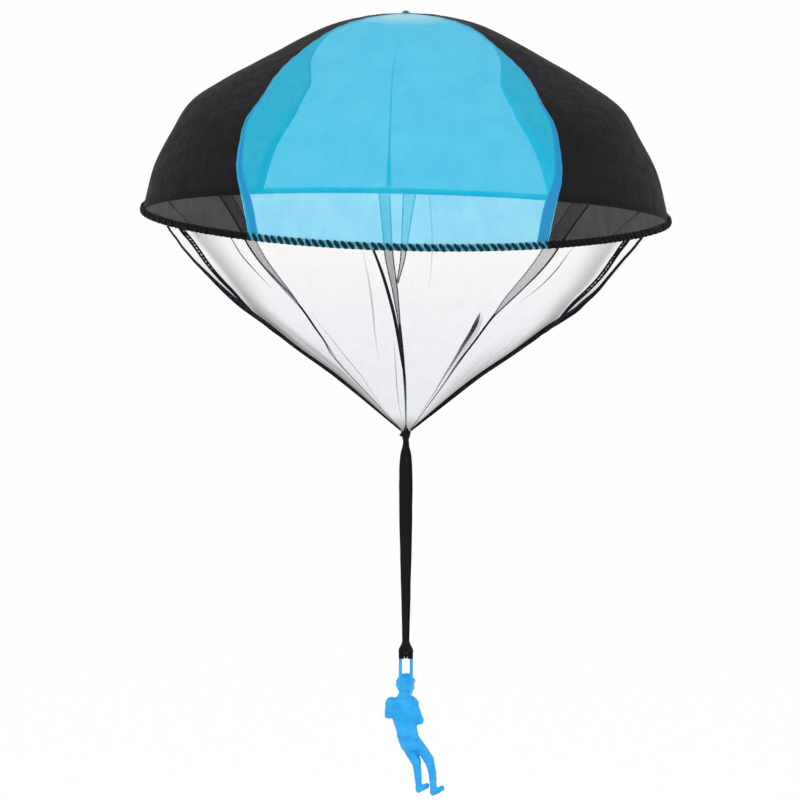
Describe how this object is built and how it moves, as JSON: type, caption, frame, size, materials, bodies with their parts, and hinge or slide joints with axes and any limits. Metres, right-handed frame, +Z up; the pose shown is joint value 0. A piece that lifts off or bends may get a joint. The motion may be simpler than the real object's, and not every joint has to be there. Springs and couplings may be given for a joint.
{
  "type": "toy parachute",
  "caption": "Hand-thrown toy parachute: a domed blue and black cloth canopy, a net skirt gathered to a knot, a doubled strap and a moulded plastic figure",
  "frame": {"origin": "top of the crown stitch, from which the parachute hangs", "axes": "+Z up, the front blue gore faces -Y, +X to the right seen from the front"},
  "size_m": [0.3529, 0.353, 0.5271],
  "materials": {
    "blue_cloth": "thin plain-woven sky blue cloth, slightly see-through",
    "black_cloth": "thin plain-woven black cloth",
    "hem_blue": "overlocked edge, dark thread over teal cloth",
    "hem_black": "overlocked edge, black thread over black cloth",
    "seam_cloth": "turned-in cloth edge",
    "thread": "sewing thread",
    "net": "fine black tulle",
    "strap_cloth": "gathered black cloth, matte",
    "figure_plastic": "moulded azure blue plastic, soft gloss"
  },
  "bodies": {
    "canopy": {"crown_stitch": "thread", "gore_back_blue": "blue_cloth", "gore_front_blue": "blue_cloth", "gore_left_black": "black_cloth", "gore_right_black": "black_cloth", "hem_back": "hem_blue", "hem_front": "hem_blue", "hem_left": "hem_black", "hem_right": "hem_black", "net_back": "net", "net_front": "net", "net_left": "net", "net_right": "net", "net_seam_back_left": "net", "net_seam_back_right": "net", "net_seam_front_left": "net", "net_seam_front_right": "net", "seam_allowance_back_left": "seam_cloth", "seam_allowance_back_right": "seam_cloth", "seam_allowance_front_left": "seam_cloth", "seam_allowance_front_right": "seam_cloth"},
    "knot": {"knot": "strap_cloth"},
    "strap": {"strap_front_leg": "strap_cloth", "strap_back_leg": "strap_cloth"},
    "hitch": {"strap_throat": "strap_cloth"},
    "figure": {"figure": "figure_plastic", "hitch_turn_left": "strap_cloth", "hitch_turn_right": "strap_cloth"}
  },
  "joints": [
    {"name": "knot_tilt", "type": "hinge", "parent": "canopy", "child": "knot", "pos_m": [0, 0, -0.2846], "axis": [1, 0, 0], "range_deg": [-70, 70]},
    {"name": "strap_swing", "type": "hinge", "parent": "knot", "child": "strap", "pos_m": [0, 0, -0.2891], "axis": [0, 1, 0], "range_deg": [-70, 70]},
    {"name": "strap_twist", "type": "hinge", "parent": "strap", "child": "hitch", "pos_m": [0, 0, -0.4225], "axis": [0, 0, 1], "range_deg": [-180, 180]},
    {"name": "figure_swing", "type": "hinge", "parent": "hitch", "child": "figure", "pos_m": [0, 0, -0.4322], "axis": [1, 0, 0], "range_deg": [-100, 100]}
  ]
}
